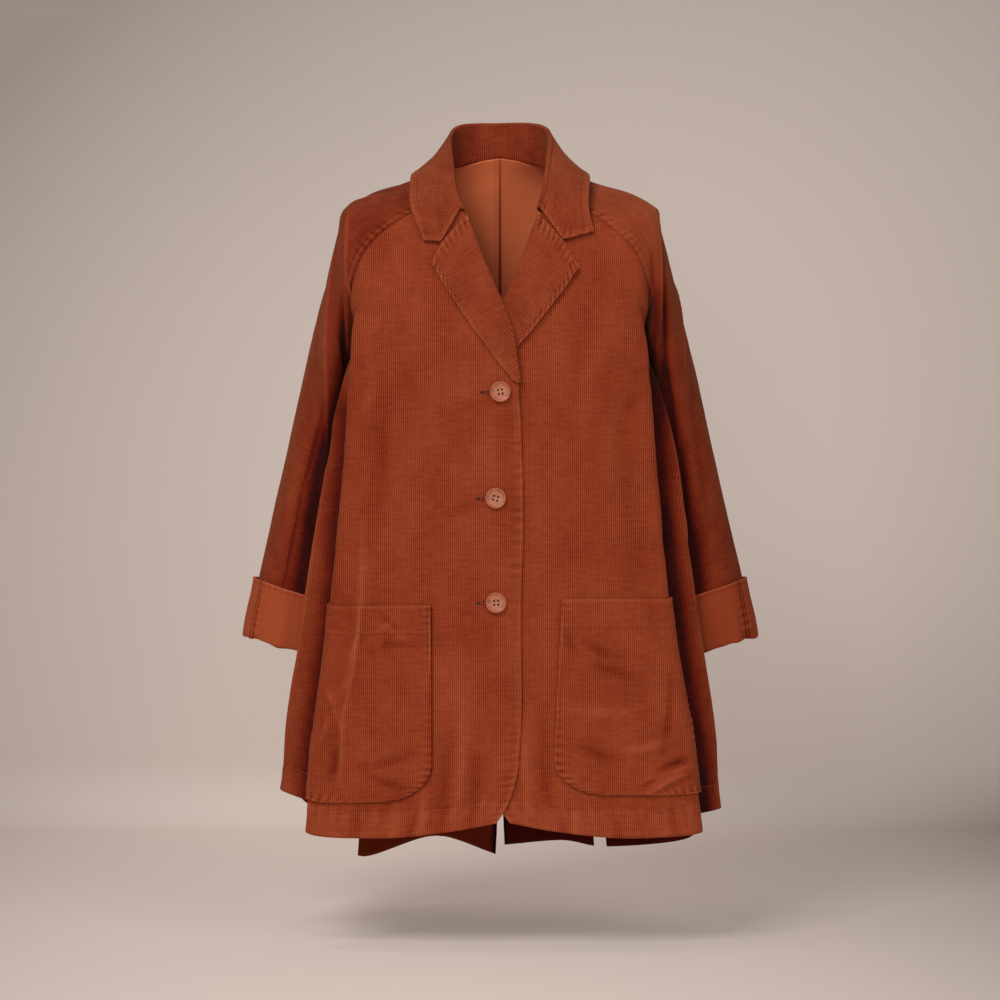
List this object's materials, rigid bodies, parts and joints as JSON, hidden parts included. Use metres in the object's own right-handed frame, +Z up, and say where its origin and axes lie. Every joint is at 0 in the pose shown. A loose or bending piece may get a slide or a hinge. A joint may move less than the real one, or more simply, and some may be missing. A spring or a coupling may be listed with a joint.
{
  "type": "corduroy jacket with raglan sleeves",
  "caption": "Loose swing jacket in ribbed velvet, worn form with no wearer: notched collar, lapels, raglan sleeves with turned-up cuffs, buttoned front, patch pockets, open hem",
  "frame": {"origin": "the middle of the shoulder line, just in front of the neck seam, where the wearer's shoulders carry the jacket", "axes": "+Z up, the front faces -Y, the wearer's left is at +X"},
  "size_m": [0.6484, 0.393, 0.9451],
  "materials": {
    "corduroy": "rust-brown cotton corduroy, fine ribbed pile with a soft velvet sheen",
    "corduroy_reverse": "smooth wrong side of the same corduroy, matte",
    "button": "mottled horn-like resin, satin"
  },
  "bodies": {
    "root": {"front_left": "corduroy", "front_right": "corduroy", "back_left": "corduroy", "back_right": "corduroy", "sleeve_front_left": "corduroy", "sleeve_back_left": "corduroy", "sleeve_front_right": "corduroy", "sleeve_back_right": "corduroy", "collar_stand": "corduroy", "collar_leaf": "corduroy", "lapel_left": "corduroy", "lapel_right": "corduroy", "pocket_left": "corduroy", "pocket_right": "corduroy", "cuff_left": "corduroy_reverse", "cuff_right": "corduroy_reverse", "button_1": "button", "button_2": "button", "button_3": "button"}
  },
  "joints": []
}
